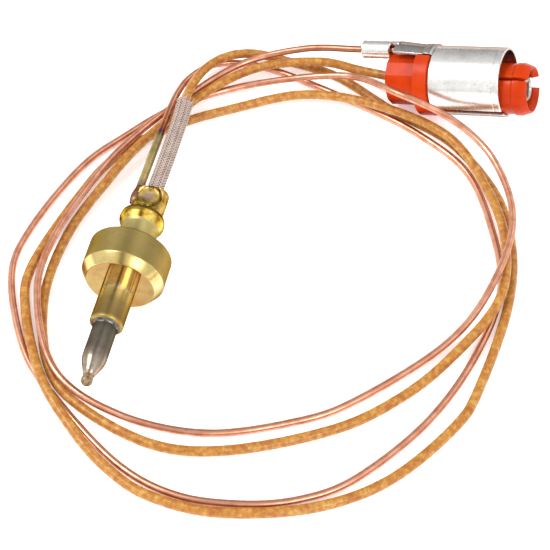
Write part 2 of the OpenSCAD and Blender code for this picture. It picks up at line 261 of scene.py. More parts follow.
def rounded(outline, size):
    """Rounds each inner corner of an open outline with three points."""
    pts = [Vector(p) for p in outline]
    out = [tuple(pts[0])]
    for a, b, c in zip(pts, pts[1:], pts[2:]):
        cut = min(size, (b - a).length / 2.2, (c - b).length / 2.2)
        start, end = b + (a - b).normalized() * cut, b + (c - b).normalized() * cut
        out += [tuple(start), tuple((start + 2 * b + end) / 4), tuple(end)]
    return out + [tuple(pts[-1])]


def bumps(p, size):
    """Smooth noise from -1 to 1 with features of about size millimetres."""
    return noise.noise(p / size)


# ---------------------------------------------------------------- materials
def rgb(r, g, b):
    """A colour as seen, 0 to 255, in the linear form that shaders take."""
    return tuple((c / 255 / 12.92 if c <= 10 else ((c / 255 + 0.055) / 1.055) ** 2.4)
                 for c in (r, g, b)) + (1.0,)


# The tint of a metal's reflection at a grazing angle
EDGE_TINT = rgb(150, 120, 100)


class Finish:
    """A node material: each method adds nodes and gives back the socket that carries the result."""

    def __init__(self, name, metallic=0.0, roughness=0.4):
        self.material = bpy.data.materials.new(name)
        self.material.use_nodes = True
        self.tree = self.material.node_tree
        self.surface = self.tree.nodes["Principled BSDF"]
        self.set(**{"Metallic": metallic, "Roughness": roughness})
        if metallic:
            self.set(**{"Specular Tint": EDGE_TINT})
        coords = self.tree.nodes.new("ShaderNodeTexCoord")
        self.place, self.uv = coords.outputs["Object"], coords.outputs["UV"]
        split = self.add("ShaderNodeSeparateXYZ", {"Vector": self.uv})
        self.round, self.along = split.outputs[0], split.outputs[1]
        self.height = None

    def add(self, kind, inputs=None, **settings):
        node = self.tree.nodes.new(kind)
        for key, value in settings.items():
            setattr(node, key, value)
        for key, value in (inputs or {}).items():
            if isinstance(value, bpy.types.NodeSocket):
                self.tree.links.new(value, node.inputs[key])
            else:
                node.inputs[key].default_value = value
        return node

    def set(self, **inputs):
        for key, value in inputs.items():
            if isinstance(value, bpy.types.NodeSocket):
                self.tree.links.new(value, self.surface.inputs[key])
            else:
                self.surface.inputs[key].default_value = value

    def math(self, operation, a, b=0.0):
        return self.add("ShaderNodeMath", {0: a, 1: b}, operation=operation).outputs[0]

    def noise(self, size, detail=3.0, stretch=(1, 1, 1), rough=0.55):
        """Noise with features of about size millimetres, drawn out along stretch."""
        scale = [1 / (size * MM * k) for k in stretch]
        vector = self.add("ShaderNodeVectorMath", {0: self.place, 1: scale},
                          operation="MULTIPLY").outputs[0]
        return self.add("ShaderNodeTexNoise", {"Vector": vector, "Scale": 1.0, "Detail": detail,
                                               "Roughness": rough}).outputs[0]

    def rings(self, size, wander=0.02):
        """Fine lines that go round the part, about size millimetres apart."""
        vector = self.add("ShaderNodeCombineXYZ", {
            0: self.math("MULTIPLY", self.round, wander),
            1: self.math("MULTIPLY", self.along, 1 / size)}).outputs[0]
        return self.add("ShaderNodeTexNoise", {"Vector": vector, "Scale": 1.0,
                                               "Detail": 2.0}).outputs[0]

    def streaks(self, count, drift):
        """Broad streaks that run along the part, about count of them round it."""
        angle = self.math("MULTIPLY", self.round, TURN)
        vector = self.add("ShaderNodeCombineXYZ", {
            0: self.math("MULTIPLY", self.math("COSINE", angle), count / TURN),
            1: self.math("MULTIPLY", self.math("SINE", angle), count / TURN),
            2: self.math("MULTIPLY", self.along, drift)}).outputs[0]
        return self.add("ShaderNodeTexNoise", {"Vector": vector, "Scale": 1.0,
                                               "Detail": 2.0}).outputs[0]

    def ramp(self, factor, *stops):
        """Colours or grey levels at positions from 0 to 1."""
        node = self.add("ShaderNodeValToRGB", {"Fac": factor})
        marks = node.color_ramp.elements
        while len(marks) < len(stops):
            marks.new(0.5)
        for mark, (position, value) in zip(marks, stops):
            mark.position = position
            mark.color = value if isinstance(value, tuple) else (value, value, value, 1)
        return node.outputs[0]

    def mix(self, factor, a, b):
        """a where the factor is 0 and b where it is 1."""
        node = self.add("ShaderNodeMix", {"Factor": factor}, data_type="RGBA")
        for socket, value in zip((node.inputs[6], node.inputs[7]), (a, b)):
            if isinstance(value, bpy.types.NodeSocket):
                self.tree.links.new(value, socket)
            else:
                socket.default_value = value
        return node.outputs[2]

    def rise(self, value, start, end):
        """Goes from 0 to 1 as the value goes from start to end."""
        return self.add("ShaderNodeMapRange", {"Value": value, "From Min": start,
                                               "From Max": end}).outputs[0]

    def band(self, start, end, soft=0.1, value=None):
        """1 where V, or another value, is from start to end millimetres, and 0 elsewhere."""
        value = value or self.along
        return self.math("SUBTRACT", self.rise(value, start - soft, start + soft),
                         self.rise(value, end - soft, end + soft))

    def station(self):
        """Millimetres forwards from the flange's face, along the probe's axis."""
        y = self.add("ShaderNodeSeparateXYZ", {"Vector": self.place}).outputs[1]
        return self.math("SUBTRACT", SEAT_Y, self.math("MULTIPLY", y, 1 / MM))

    def bump(self, height, depth, strength=1.0):
        """Adds relief of depth millimetres to what is there already."""
        inputs = {"Height": height, "Distance": depth * MM, "Strength": strength}
        if self.height:
            inputs["Normal"] = self.height
        self.height = self.add("ShaderNodeBump", inputs).outputs[0]
        self.set(Normal=self.height)


def brass_finish():
    """Turned brass: matt where it was only turned and polished gold on the collar's flank. Painted
    reflections lighten the flange's chamfer and face, a painted highlight lightens the shank next
    to the flange, and painted shade darkens the collar's rear rounding and the groove in front of
    the crimp; the shank browns to the tip."""
    m = Finish("turned_brass", metallic=1.0, roughness=0.33)
    lines, patches, s = m.rings(0.07), m.noise(2.2, 4), m.station()
    streaks = m.streaks(3.2, 0.03)
    matt = m.ramp(streaks, (0.3, rgb(150, 131, 78)), (0.48, rgb(174, 153, 96)),
                  (0.62, rgb(196, 171, 112)), (0.74, rgb(208, 168, 128)))
    # Painted reflection: a lighter brass for the flange's front face, standing in for the floor it
    # reflects
    face = m.ramp(streaks, (0.36, rgb(196, 152, 100)), (0.55, rgb(204, 172, 118)),
                  (0.7, rgb(208, 182, 124)))
    neck = m.ramp(patches, (0.35, rgb(190, 178, 112)), (0.65, rgb(208, 190, 128)))
    # Painted reflection: near-white streaks of colour on the flange's chamfer
    chamfer_painted_reflection = m.ramp(streaks, (0.34, rgb(214, 186, 112)), (0.5, rgb(240, 218, 150)),
                    (0.66, rgb(254, 244, 200)))
    flank = m.ramp(m.noise(1.5, 3), (0.36, rgb(170, 128, 44)), (0.5, rgb(220, 178, 72)),
                   (0.62, rgb(250, 220, 120)))
    # Painted shade: dark olive-brown on the collar's rear rounding, towards the crimp
    dome_painted_shade = m.ramp(patches, (0.35, rgb(98, 78, 36)), (0.65, rgb(150, 124, 62)))
    # Heat tint that browns towards the tip, with a painted highlight: near-white next to the flange
    shank = m.ramp(m.math("MULTIPLY", s, 1 / SHANK_LEN), (0.18, rgb(255, 246, 200)),
                   (0.32, rgb(206, 176, 100)), (0.55, rgb(156, 130, 78)), (0.9, rgb(140, 116, 72)),
                   (0.98, rgb(190, 166, 92)))
    chamfer = m.band(-FLANGE_CHAMFER, -0.03, 0.02, s)
    # The flange's front face: polished there (low roughness, no turning lines) and lightened as a
    # painted reflection
    face_polish_and_painted_reflection = m.band(-0.04, 0.012, 0.008, s)
    forward = m.rise(s, 0.01, 0.03)
    collar = m.band(COLLAR_MID - 0.3, COLLAR_MID + FLANK_LEN, 0.07, s)
    # Painted reflection: the flange's face takes the lighter colour
    colour = m.mix(face_polish_and_painted_reflection, matt, face)
    colour = m.mix(m.band(COLLAR_END - 1, -FLANGE_THK - 0.02, 0.02, s), colour, neck)
    # Painted reflection on the chamfer
    colour = m.mix(chamfer, colour, chamfer_painted_reflection)
    # Painted shade on the collar's rear rounding
    colour = m.mix(m.band(COLLAR_END - 1, COLLAR_MID - 0.3, 0.1, s), colour, dome_painted_shade)
    colour = m.mix(collar, colour, flank)
    # Painted highlight on the shank next to the flange, over its heat tint
    colour = m.mix(forward, colour, shank)
    colour = m.mix(m.ramp(patches, (0.48, 0.0), (0.72, 0.35)), colour, rgb(122, 104, 54))
    colour = m.mix(m.ramp(lines, (0.38, 0.0), (0.7, 0.35)), colour, rgb(110, 90, 40))
    # Painted shade: a dark band in the groove in front of the crimp
    colour = m.mix(m.band(COLLAR_END - 0.2, COLLAR_END + 0.1, 0.05, s), colour, rgb(70, 56, 24))
    rough = m.ramp(patches, (0.3, 0.38), (0.7, 0.5))
    rough = m.mix(m.math("ADD", chamfer, collar), rough, (0.22, 0.22, 0.22, 1))
    rough = m.mix(forward, rough, m.ramp(m.math("MULTIPLY", s, 1 / SHANK_LEN), (0.2, 0.15),
                                         (0.7, 0.4)))
    rough = m.mix(face_polish_and_painted_reflection, rough, (0.09, 0.09, 0.09, 1))
    m.set(**{"Base Color": colour, "Roughness": rough})
    m.bump(m.mix(face_polish_and_painted_reflection, lines, (0.5, 0.5, 0.5, 1)), 0.012, 0.6)
    m.bump(m.mix(face_polish_and_painted_reflection, m.noise(0.25, 2), (0.5, 0.5, 0.5, 1)), 0.005, 0.5)
    return m.material


def crimped_finish():
    """The pressed rear of the head: dull gold, with a grey-pink flat in the punch mark and painted
    shade in the fold round it.
    """
    m = Finish("crimped_brass", metallic=1.0, roughness=0.34)
    worn = m.noise(1.1, 4)
    colour = m.ramp(worn, (0.34, rgb(132, 108, 48)), (0.52, rgb(196, 166, 88)),
                    (0.68, rgb(222, 196, 132)))
    centre = (PUNCH_X * MM, (SEAT_Y - PUNCH_AT) * MM, (AXIS_Z + CRIMP_HALF - 0.3) * MM)
    away = m.add("ShaderNodeVectorMath", {0: m.place, 1: centre}, operation="DISTANCE")
    away = m.math("MULTIPLY", away.outputs["Value"], 1 / (1.9 * MM))
    colour = m.mix(m.ramp(away, (0.25, 0.85), (0.6, 0.0)), colour, rgb(208, 178, 154))
    colour = m.mix(m.ramp(away, (0.6, 0.0), (0.66, 0.5), (0.78, 0.0)), colour, rgb(226, 176, 58))
    # Painted shade: a dark ring where the fold runs round the punch mark
    colour = m.mix(m.ramp(away, (0.8, 0.0), (0.9, 0.8), (1.0, 0.0)), colour, rgb(52, 40, 20))
    m.set(**{"Base Color": colour, "Roughness": m.ramp(worn, (0.35, 0.26), (0.7, 0.46))})
    m.bump(worn, 0.03, 0.5)
    m.bump(m.noise(0.3, 3), 0.012, 0.4)
    return m.material


def sheath_finish():
    """Heat-darkened nickel alloy: greenish grey near the braze, paler and pinkish on the cone."""
    m = Finish("heated_alloy", metallic=0.95, roughness=0.36)
    stain, s = m.noise(1.1, 4, (1, 1.6, 1)), m.station()
    far = m.rise(s, SHANK_LEN, TIP)
    colour = m.ramp(far, (0.0, rgb(70, 68, 60)), (0.18, rgb(104, 102, 86)),
                    (0.45, rgb(112, 102, 92)), (0.62, rgb(160, 146, 130)),
                    (0.85, rgb(190, 174, 154)))
    colour = m.mix(m.ramp(stain, (0.42, 0.0), (0.7, 0.6)), colour, rgb(86, 78, 70))
    m.set(**{"Base Color": colour,
             "Roughness": m.ramp(far, (0.1, 0.44), (0.5, 0.34), (0.8, 0.2))})
    m.bump(m.rings(0.09), 0.01, 0.5)
    m.bump(m.noise(0.35, 3), 0.012, 0.5)
    return m.material


def scale_finish():
    """The welded bead, with a rough skin of oxide."""
    m = Finish("oxidised_bead", metallic=0.75, roughness=0.5)
    skin = m.noise(0.5, 5)
    m.set(**{"Base Color": m.ramp(skin, (0.35, rgb(108, 88, 66)), (0.6, rgb(178, 152, 120)),
                                  (0.75, rgb(128, 110, 86)))})
    m.bump(skin, 0.05, 0.8)
    return m.material


def braze_finish():
    """Silver braze, darkened by heat in patches."""
    m = Finish("silver_braze", metallic=1.0, roughness=0.3)
    m.set(**{"Base Color": m.ramp(m.noise(0.7, 3), (0.35, rgb(84, 80, 78)),
                                  (0.65, rgb(154, 146, 140)))})
    m.bump(m.noise(0.4, 2), 0.02, 0.6)
    return m.material


def copper_finish(name, length):
    """Drawn copper wire: khaki scale where the head's heat reached it, a purple band, then pink."""
    m = Finish(name, metallic=1.0, roughness=0.3)
    draw, spots = m.streaks(7, 0.02), m.noise(1.8, 4)
    colour = m.mix(m.ramp(spots, (0.4, 0.0), (0.66, 0.8)), rgb(226, 168, 140), rgb(192, 124, 96))
    near = m.ramp(m.math("MULTIPLY", m.along, 1 / 40), (0.02, rgb(120, 112, 98)),
                  (0.05, rgb(176, 152, 96)), (0.14, rgb(176, 158, 100)),
                  (0.2, rgb(152, 134, 76)), (0.29, rgb(160, 142, 88)),
                  (0.32, rgb(110, 60, 78)), (0.36, rgb(196, 106, 70)),
                  (0.46, rgb(220, 150, 118)))
    near = m.mix(m.ramp(m.noise(1.4, 4), (0.45, 0.0), (0.65, 0.6)), near, rgb(112, 100, 78))
    colour = m.mix(m.band(-1, 20, 2), colour, near)
    colour = m.mix(m.math("MULTIPLY", m.band(length - 12, length + 5, 5), 0.7), colour,
                   rgb(150, 92, 66))
    scale = m.math("SUBTRACT", 1.0, m.math("MULTIPLY", m.band(-1, 11.5, 0.6), 0.55))
    m.set(**{"Base Color": colour, "Metallic": scale,
             "Roughness": m.ramp(spots, (0.3, 0.26), (0.7, 0.4)),
             "Specular Tint": rgb(232, 214, 208)})
    m.bump(draw, 0.008, 0.5)
    m.bump(m.noise(0.5, 3), 0.008, 0.5)
    return m.material


def copper_braze_finish():
    """Copper-coloured braze, lumpy and stained by heat."""
    m = Finish("copper_braze", metallic=1.0, roughness=0.42)
    heat = m.noise(0.9, 4)
    m.set(**{"Base Color": m.ramp(heat, (0.35, rgb(128, 78, 62)), (0.52, rgb(162, 110, 92)),
                                  (0.66, rgb(120, 108, 84)))})
    m.bump(heat, 0.05, 0.6)
    return m.material


def sleeve_finish():
    """The live lead's flexible sleeve: mottled ochre with faint wrinkles across it."""
    m = Finish("ochre_sleeve", roughness=0.42)
    cloud = m.noise(0.9, 5, rough=0.65)
    wave = m.add("ShaderNodeTexWave", {
        "Vector": m.add("ShaderNodeCombineXYZ", {
            0: m.math("MULTIPLY", m.along, 0.25),
            1: m.math("MULTIPLY", m.round, 0.3)}).outputs[0],
        "Scale": 1.0, "Distortion": 7.0, "Detail": 3.0, "Detail Scale": 1.4}).outputs[1]
    colour = m.ramp(cloud, (0.36, rgb(158, 92, 24)), (0.5, rgb(178, 120, 36)),
                    (0.64, rgb(198, 150, 70)))
    colour = m.mix(m.ramp(wave, (0.0, 0.4), (0.25, 0.0)), colour, rgb(184, 86, 24))
    m.set(**{"Base Color": colour, "Subsurface Weight": 0.08, "Subsurface Scale": 0.0004,
             "Roughness": m.ramp(cloud, (0.3, 0.5), (0.7, 0.34)), "Coat Weight": 0.12})
    m.bump(wave, 0.05, 0.6)
    m.bump(m.noise(0.3, 3), 0.02, 0.5)
    return m.material


def braid_finish():
    """Glass yarn: pale, soft and made of fine filaments."""
    m = Finish("glass_braid", roughness=0.62)
    dirt = m.noise(1.3, 4)
    m.set(**{"Base Color": m.mix(m.ramp(dirt, (0.45, 0.0), (0.75, 0.6)), rgb(188, 168, 157),
                                 rgb(148, 122, 110)), "Sheen Weight": 0.12})
    m.bump(m.streaks(5, 0.4), 0.03, 0.7)
    return m.material


def ceramic_finish():
    """Fired ceramic: off-white, matt and finely grained."""
    m = Finish("ceramic", roughness=0.7)
    m.set(**{"Base Color": m.ramp(m.noise(0.8, 3), (0.3, rgb(236, 230, 216)),
                                  (0.7, rgb(214, 204, 188)))})
    m.bump(m.noise(0.15, 2), 0.01, 0.5)
    return m.material


def plastic_finish():
    """Moulded orange plastic: satin, with faint flow marks and a grain of fine specks."""
    m = Finish("orange_plastic", roughness=0.36)
    flow = m.noise(3.5, 3, (1, 1, 2.5))
    m.set(**{"Base Color": m.ramp(flow, (0.35, rgb(186, 50, 6)), (0.65, rgb(200, 61, 9))),
             "Specular IOR Level": 0.14,
             "Roughness": m.ramp(m.noise(0.8, 3), (0.35, 0.22), (0.7, 0.34))})
    m.bump(m.noise(0.2, 3), 0.006, 0.4)
    return m.material


def tin_finish(name, tone=1.0, dark=0.5):
    """Tinned sheet: soft grey mottling with brighter rubbed places and fine rolling lines."""
    m = Finish(name, metallic=1.0, roughness=0.3)
    cloud, grain = m.noise(2.4, 5, rough=0.6), m.rings(0.12, 0.4)
    colour = m.ramp(cloud, (0.3, rgb(216 * tone, 214 * tone, 212 * tone)),
                    (0.5, rgb(236 * tone, 234 * tone, 231 * tone)),
                    (0.7, rgb(246 * tone, 244 * tone, 241 * tone)))
    colour = m.mix(m.ramp(m.noise(0.7, 4), (0.55, 0.0), (0.75, dark)), colour,
                   rgb(134, 120, 118))
    m.set(**{"Base Color": colour, "Roughness": m.ramp(cloud, (0.3, 0.32), (0.7, 0.2))})
    m.bump(grain, 0.006, 0.5)
    m.bump(m.noise(0.9, 3), 0.012, 0.3)
    return m.material


def plain_finish(name, colour, size, metallic, roughness):
    """For parts that are hidden inside others, with a little variation."""
    m = Finish(name, metallic=metallic, roughness=roughness)
    darker = tuple(0.6 * c for c in colour[:3]) + (1.0,)
    m.set(**{"Base Color": m.ramp(m.noise(size, 3), (0.35, darker), (0.65, colour))})
    m.bump(m.noise(size / 3, 2), 0.01, 0.5)
    return m.material


BRASS, CRIMPED = brass_finish(), crimped_finish()
ALLOY, BEAD = sheath_finish(), scale_finish()
BRAZE, COPPER_BRAZE = braze_finish(), copper_braze_finish()
SLEEVE, BRAID, CERAMIC = sleeve_finish(), braid_finish(), ceramic_finish()
PLASTIC = plastic_finish()
# The tongue's tin is a darker copy of the tinned sheet, with more dark spots and the same roughness
TIN, DARKER_TIN = tin_finish("tinned_sheet", dark=0.25), tin_finish("darker_tin", 0.8, 0.4)
CONTACT = tin_finish("tinned_contact", 0.86, 0.7)
CONSTANTAN = plain_finish("constantan", rgb(190, 176, 160), 0.8, 1.0, 0.35)
BARE = plain_finish("bare_copper_ends", rgb(206, 130, 100), 0.8, 1.0, 0.35)
# The liner's colour is darker than its own pinkish brown: painted shade that shows in the gaps
# between the braid's strands
LINER_PAINTED_SHADE = plain_finish("braid_liner_painted_shade", rgb(84, 62, 54), 0.6, 0.0, 0.8)


# ---------------------------------------------------------------- the camera and the cords first
def make_camera():
    """Looks down at the loop from in front and above, with a long lens."""
    data = bpy.data.cameras.new("camera")
    camera = bpy.data.objects.new("camera", data)
    camera.location = Vector((54.06, -137.79, 202.85)) * MM
    look = Vector((20.71, 11.39, 0)) * MM
    camera.rotation_euler = (look - camera.location).to_track_quat("-Z", "Y").to_euler()
    data.sensor_width, data.lens, data.clip_start = 36, 109.6, 0.001
    bpy.context.scene.collection.objects.link(camera)
    bpy.context.scene.camera = camera


make_camera()

return_line, live_line = spline(RETURN_ROUTE, 0.45), spline(LIVE_ROUTE, 0.3)
COPPER = copper_finish("bare_copper", lengths(return_line)[-1])


def return_radius(d, a):
    """Drawn wire that has been bent by hand: very slight flats, and scale next to the head."""
    scale = 0.18 * min(1.0, max(0.0, (14 - d) / 2))
    return RETURN_R * (1 + scale + 0.012 * noise.noise(Vector((d / 3, a, 1.0))))


def live_radius(d, a):
    """The sleeve: faint wrinkles every 1 to 1.5 mm and a slow wander in size."""
    wrinkle = noise.noise(Vector((d / 0.5, 0.6 * math.cos(a), 0.6 * math.sin(a))))
    slow = noise.noise(Vector((d / 6, 2.0, 0.5 * math.sin(a))))
    return LIVE_R * (0.985 + 0.03 * wrinkle + 0.02 * slow)


return_lead = Solid().tube(return_line, return_radius, 14).piece(
    "return_wire", COPPER, ["return_lead"], sharp=60)
live_lead = Solid().tube(live_line, live_radius, 18).piece(
    "live_sleeve", SLEEVE, ["live_lead"], sharp=60)


# ---------------------------------------------------------------- the head
def turned(outline, sides=128):
    """A solid turned about the probe's axis."""
    return Solid().revolve(outline, at_head, steps=sides)


def body():
    """The turned brass body, from the shank's end to the groove in front of the crimp."""
    front, back = FLANGE_R - FLANGE_BEVEL, [
        (COLLAR_MID - COLLAR_ROUND * math.sin(math.radians(a)),
         COLLAR_R - COLLAR_ROUND * (1 - math.cos(math.radians(a)))) for a in range(4, 24, 4)]
    outline = rounded([
        (SHANK_LEN - 1.5, SHEATH_R), (SHANK_LEN - 0.02, SHEATH_R + 0.02),
        (SHANK_LEN, SHANK_R - 0.3), (SHANK_LEN - 0.25, SHANK_R), (0, SHANK_R)], 0.12)
    outline += rounded([(0, SHANK_R + 0.02), (0, front),
        (-FLANGE_CHAMFER, FLANGE_R), (-FLANGE_THK + 0.5, FLANGE_R),
        (-FLANGE_THK, FLANGE_R - 0.6), (-FLANGE_THK, NECK_R + 0.2),
        (-FLANGE_THK - 0.2, NECK_R)], 0.12)
    outline += rounded([
        (COLLAR_MID + FLANK_LEN + 0.9, NECK_R), (COLLAR_MID + FLANK_LEN + 0.35, NECK_R - 0.03),
        (COLLAR_MID + 0.45, COLLAR_R - 0.09), (COLLAR_MID + 0.1, COLLAR_R)], 0.2)
    outline += back + rounded([
        (COLLAR_END + 0.2, 3.2), (COLLAR_END + 0.03, 2.98), (COLLAR_END, 2.8),
        (COLLAR_END - 0.01, 1.9)], 0.08)
    return turned(outline).piece("head_body", BRASS, ["mounting_body"], sharp=50, flat=True)


def sheath():
    """The protecting tube with a drawn-in conical end."""
    shoulder = TIP - 2 * BEAD_R - TAPER_LEN
    outline = [(SHANK_LEN - 2, SHEATH_R), (SHANK_LEN + 0.2, SHEATH_R)]
    outline += rounded([(SHANK_LEN + 0.4, SHEATH_R), (shoulder - 0.3, SHEATH_R),
                        (shoulder + 0.5, SHEATH_R - 0.14), (shoulder + 1.6, 1.2),
                        (TIP - 2 * BEAD_R, SHEATH_TIP_R), (TIP - 2 * BEAD_R, 0.4)], 0.35)
    return turned(outline).piece("sheath", ALLOY, ["probe_sheath"], sharp=50, flat=True)


def bead():
    """The weld bead at the tip: a lumpy ball on a short neck."""
    outline = [(TIP - 2 * BEAD_R - 0.25, 0.4), (TIP - 2 * BEAD_R - 0.1, 0.76)]
    outline += [(BEAD_AT + BEAD_R * 0.98 * math.sin(math.radians(a)),
                 BEAD_R * math.cos(math.radians(a))) for a in range(-28, 91, 7)]
    solid = turned(outline, 48)
    centre = at_head(BEAD_AT, 0, 0) * MM
    solid.verts = [centre + (v - centre) * (1 + 0.05 * bumps(v / MM, 0.7)) for v in solid.verts]
    return solid.piece("hot_junction", BEAD, ["hot_junction_bead"], sharp=60)


def braze_fillet():
    """Silver braze drawn up round the sheath where it leaves the shank."""
    s = SHANK_LEN

    def wavy(x, r, a):
        lift = 0.07 * noise.noise(Vector((1.5 * math.cos(a), 1.5 * math.sin(a), 2.0)))
        return at_head(x + (lift if x > s + 0.05 else 0), r, a)
    outline = [(s - 0.04, SHANK_R - 0.3), (s + 0.03, SHANK_R - 0.4), (s + 0.08, SHEATH_R + 0.18),
               (s + 0.2, SHEATH_R + 0.06), (s + 0.36, SHEATH_R + 0.01), (s + 0.45, SHEATH_R - 0.05)]
    return Solid().revolve(outline, wavy, steps=96).piece(
        "braze_fillet", BRAZE, ["braze_ring"], sharp=60)


def crimp_outline(a):
    """A tube squeezed to two lobes side by side, as a distance from its middle."""
    middle, reach = (CRIMP_LEFT + CRIMP_RIGHT) / 2, 0.0
    for centre in (CRIMP_LEFT + CRIMP_HALF, CRIMP_RIGHT - CRIMP_HALF):
        off = centre - middle
        reach += (off * math.cos(a)
                  + math.sqrt(CRIMP_HALF ** 2 - (off * math.sin(a)) ** 2)) ** 14
    return (reach / 2) ** (1 / 14)


def crimp():
    """The rear of the head, crimped on the two wires. A round punch mark sinks into its top, and
    a fold runs down beside the mark."""
    middle, steps = (CRIMP_LEFT + CRIMP_RIGHT) / 2, 160
    length = COLLAR_END - CRIMP_END
    stations = [(COLLAR_END + 0.1 - (length + 0.02) * k / 44, 1.0) for k in range(45)]
    stations += [(CRIMP_END + 0.04, 0.93), (CRIMP_END, 0.86), (CRIMP_END + 0.06, 0.8),
                 (CRIMP_END + 0.3, 0.74), (CRIMP_END + 0.36, 0.02)]
    rows = []
    for i in range(steps):
        a, row = TURN * i / steps - math.pi / 2, []
        for s, size in stations:
            depth = COLLAR_END - s
            grown = min(1.0, max(0.0, depth - 0.1) / 0.7) ** 0.7
            r = (1 - grown) * 2.35 + grown * crimp_outline(a)
            edge = min(1.0, max(0.0, s - CRIMP_END) / 0.35)
            r *= (0.95 + 0.05 * math.sqrt(edge)) * size
            x, z = grown * middle + r * math.cos(a), r * math.sin(a)
            if z > 0 and size == 1.0:
                away = math.hypot(x - PUNCH_X, (s - PUNCH_AT) * 0.92)
                if away < PUNCH_R:
                    z = min(z, CRIMP_HALF - 0.34 + 0.1 * (away / PUNCH_R) ** 2)
                elif away < PUNCH_R + 0.25:
                    z += 0.08
                fold = math.exp(-((away - PUNCH_R - 0.42) / 0.13) ** 2)
                z -= 0.45 * fold if x > PUNCH_X + 0.5 else 0.2 * fold
            p = Vector((x, SEAT_Y - s, AXIS_Z + z))
            row.append(p + Vector((0, 0, 0.05 * bumps(p, 1.3))))
        rows.append(row)
    solid = Solid()
    solid.grid(rows, [COLLAR_END - s for s, _ in stations], True)
    return solid.piece("rear_crimp", CRIMPED, ["lead_crimp"], sharp=60)


def return_braze():
    """The brazed end of the return wire: a drop of copper that narrows on to the wire."""
    end, r = CRIMP_END, BRAZE_R
    outline = [(end + 3.0, 0.2), (end + 2.95, r - 0.45), (end + 2.7, r - 0.15), (end + 2.2, r),
               (end + 1.5, r + 0.02), (end + 0.8, r - 0.06), (end + 0.25, r - 0.2),
               (end - 0.15, RETURN_R + 0.16), (end - 0.5, RETURN_R + 0.07),
               (end - 0.62, RETURN_R - 0.05)]

    def place(x, radius, a):
        p = at_head(x, radius, a, BRAZE_X + 0.1, BRAZE_Z - AXIS_Z + 0.1)
        return p + 0.09 * bumps(p, 1.0) * Vector((math.cos(a), 0, math.sin(a)))
    return Solid().revolve(outline, place, steps=64).piece(
        "return_braze", COPPER_BRAZE, ["return_wire_braze"], sharp=60)


for make in (body, sheath, bead, braze_fillet, crimp, return_braze):
    make()


# ---------------------------------------------------------------- the braided sleeve
def braid():
    """Woven glass yarn: flat strands wound both ways, each over two and under two, which makes
    slanted stitches in rows along it. They spread and fray at the open end."""
    line = spline(BRAID_ROUTE, 0.1)
    marks, places = lengths(line), transported(line)
    total, count, pitch, wave, thin, wide = marks[-1] - 1.6, 16, 9.0, 0.2, 0.1, 0.14
    rng = random.Random(4)
    solid = Solid()
    for way in (1, -1):
        for k in range(count):
            fray, spread = total - rng.uniform(0.0, 0.6), rng.uniform(0.05, 0.3)
            strand, outward = [], []
            for (p, side, up), d in zip(places, marks):
                if d <= fray:
                    a = way * TURN * d / pitch + TURN * k / count
                    flare = max(0.0, 1 - (total - d) / 1.8) ** 2
                    high = way * wave * math.cos(count * a / 2 - TURN / 8)
                    outward.append(math.cos(a) * side + math.sin(a) * up)
                    strand.append(p + (BRAID_R - wave - thin + 0.03 + high + spread * flare)
                                  * outward[-1])
            solid.tube(strand, lambda d, a: wide, 7, thin / wide, outward=outward)
    along = (line[-1] - line[-3]).normalized()
    for k in range(40):
        a, d = rng.uniform(0, TURN), total - rng.uniform(0.1, 0.9)
        p, side, up = places[min(range(len(marks)), key=lambda i: abs(marks[i] - d))]
        out = math.cos(a) * side + math.sin(a) * up
        reach, lean = rng.uniform(0.5, 1.0), rng.uniform(0.05, 0.45)
        hair = [p + out * (BRAID_R - 0.15 + lean * t * t) + along * reach * t
                for t in (0, 0.33, 0.66, 1)]
        solid.tube(hair, lambda d, a: 0.04, 5)
    return solid.piece("braid", BRAID, ["braided_sleeve"], sharp=60)


def braid_liner_painted_shade():
    """The inner layer that the strands are wound on, darkened below its own pinkish brown as
    painted shade in the gaps between the strands.
    """
    line = spline(BRAID_ROUTE, 0.5)
    return Solid().tube(line[:-6], lambda d, a: BRAID_R - 0.42, 16).piece(
        "braid_liner_painted_shade", LINER_PAINTED_SHADE, ["braided_sleeve"], sharp=60)


braid_piece, liner = braid(), braid_liner_painted_shade()


